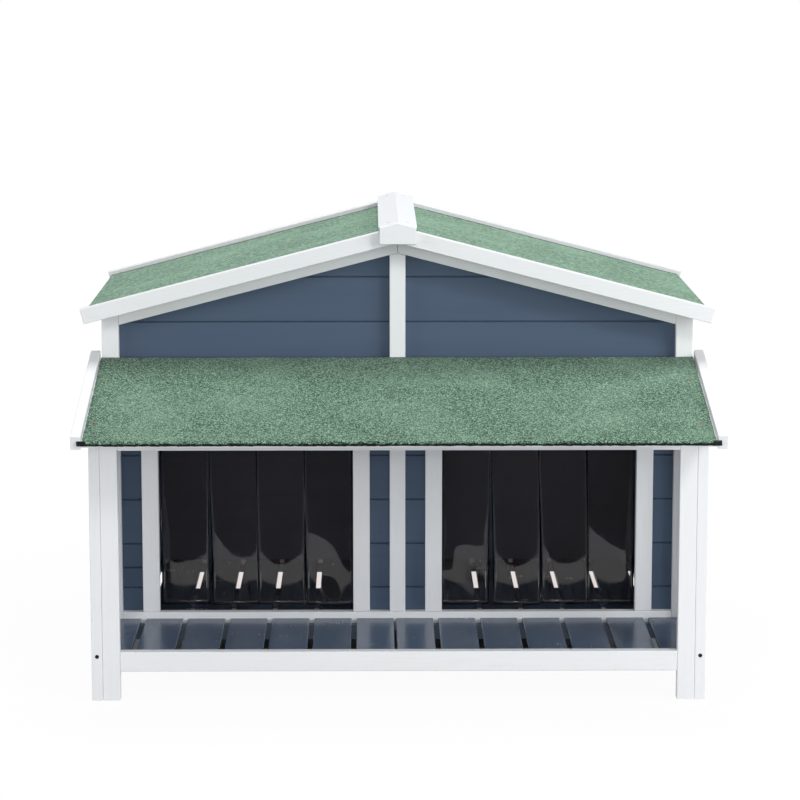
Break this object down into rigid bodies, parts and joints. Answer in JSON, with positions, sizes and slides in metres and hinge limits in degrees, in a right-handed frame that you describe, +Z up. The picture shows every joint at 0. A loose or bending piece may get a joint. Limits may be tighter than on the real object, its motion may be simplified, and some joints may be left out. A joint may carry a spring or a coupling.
{
  "type": "dog house",
  "caption": "Wooden dog house with two curtained doorways under a felted gable roof, and a railed porch under a lean-to roof; the clear strips swing in and out.",
  "frame": {"origin": "centre of the overall footprint, on the ground under the feet", "axes": "+X to the right as seen from the front, along the ridge's cross direction; +Y from the porch to the rear wall, along the ridge; +Z up; the porch faces -Y"},
  "size_m": [1.2, 1.0044, 0.8645],
  "materials": {
    "white_paint": "softwood under satin white paint",
    "slate_paint": "softwood boards under satin blue-grey paint",
    "bare_wood": "unpainted sheet timber",
    "roofing_felt": "green mineral grit on bitumen felt",
    "clear_pvc": "clear soft PVC, slightly smoky",
    "black_steel": "black socket bolts"
  },
  "bodies": {
    "house": {"curtain_rail": "white_paint", "deck_panel_left": "slate_paint", "deck_panel_right": "slate_paint", "door_header_left": "white_paint", "door_header_right": "white_paint", "door_stile_inner_left": "white_paint", "door_stile_inner_right": "white_paint", "door_stile_outer_left": "white_paint", "door_stile_outer_right": "white_paint", "floor_panel_left": "slate_paint", "floor_panel_right": "slate_paint", "frame_bolt_left": "black_steel", "frame_bolt_right": "black_steel", "front_boards_centre": "slate_paint", "front_boards_left": "slate_paint", "front_boards_right": "slate_paint", "front_boards_upper": "slate_paint", "front_bottom_rail": "white_paint", "front_centre_stile": "white_paint", "front_corner_stile_left": "white_paint", "front_corner_stile_right": "white_paint", "front_fascia_left": "white_paint", "front_fascia_right": "white_paint", "front_gable_rail_left": "white_paint", "front_gable_rail_right": "white_paint", "porch_bargeboard_left": "white_paint", "porch_bargeboard_right": "white_paint", "porch_front_rail": "white_paint", "porch_ledger": "white_paint", "porch_post_left": "white_paint", "porch_post_right": "white_paint", "porch_roof_felt": "roofing_felt", "porch_roof_panel": "white_paint", "porch_side_left": "white_paint", "porch_side_right": "white_paint", "porch_top_beam": "white_paint", "rear_boards": "slate_paint", "rear_fascia_left": "white_paint", "rear_fascia_right": "white_paint", "rear_frame": "white_paint", "ridge_block_front": "white_paint", "ridge_block_rear": "white_paint", "ridge_cap_left": "white_paint", "ridge_cap_right": "white_paint", "roof_felt_left": "roofing_felt", "roof_felt_right": "roofing_felt", "roof_panel_left": "bare_wood", "roof_panel_right": "bare_wood", "side_boards_left": "slate_paint", "side_boards_right": "slate_paint", "side_frame_left": "white_paint", "side_frame_right": "white_paint"},
    "strip_left_1": {"curtain_left_1": "clear_pvc"},
    "strip_left_2": {"curtain_left_2": "clear_pvc"},
    "strip_left_3": {"curtain_left_3": "clear_pvc"},
    "strip_left_4": {"curtain_left_4": "clear_pvc"},
    "strip_right_1": {"curtain_right_1": "clear_pvc"},
    "strip_right_2": {"curtain_right_2": "clear_pvc"},
    "strip_right_3": {"curtain_right_3": "clear_pvc"},
    "strip_right_4": {"curtain_right_4": "clear_pvc"}
  },
  "joints": [
    {"name": "curtain_left_1_swing", "type": "hinge", "parent": "house", "child": "strip_left_1", "pos_m": [-0.13331, -0.0623, 0.4876], "axis": [1, 0, 0], "range_deg": [-75, 75]},
    {"name": "curtain_left_2_swing", "type": "hinge", "parent": "house", "child": "strip_left_2", "pos_m": [-0.22594, -0.0623, 0.4876], "axis": [1, 0, 0], "range_deg": [-75, 75]},
    {"name": "curtain_left_3_swing", "type": "hinge", "parent": "house", "child": "strip_left_3", "pos_m": [-0.31856, -0.0623, 0.4876], "axis": [1, 0, 0], "range_deg": [-75, 75]},
    {"name": "curtain_left_4_swing", "type": "hinge", "parent": "house", "child": "strip_left_4", "pos_m": [-0.41119, -0.0623, 0.4876], "axis": [1, 0, 0], "range_deg": [-75, 75]},
    {"name": "curtain_right_1_swing", "type": "hinge", "parent": "house", "child": "strip_right_1", "pos_m": [0.13331, -0.0623, 0.4876], "axis": [1, 0, 0], "range_deg": [-75, 75]},
    {"name": "curtain_right_2_swing", "type": "hinge", "parent": "house", "child": "strip_right_2", "pos_m": [0.22594, -0.0623, 0.4876], "axis": [1, 0, 0], "range_deg": [-75, 75]},
    {"name": "curtain_right_3_swing", "type": "hinge", "parent": "house", "child": "strip_right_3", "pos_m": [0.31856, -0.0623, 0.4876], "axis": [1, 0, 0], "range_deg": [-75, 75]},
    {"name": "curtain_right_4_swing", "type": "hinge", "parent": "house", "child": "strip_right_4", "pos_m": [0.41119, -0.0623, 0.4876], "axis": [1, 0, 0], "range_deg": [-75, 75]}
  ]
}
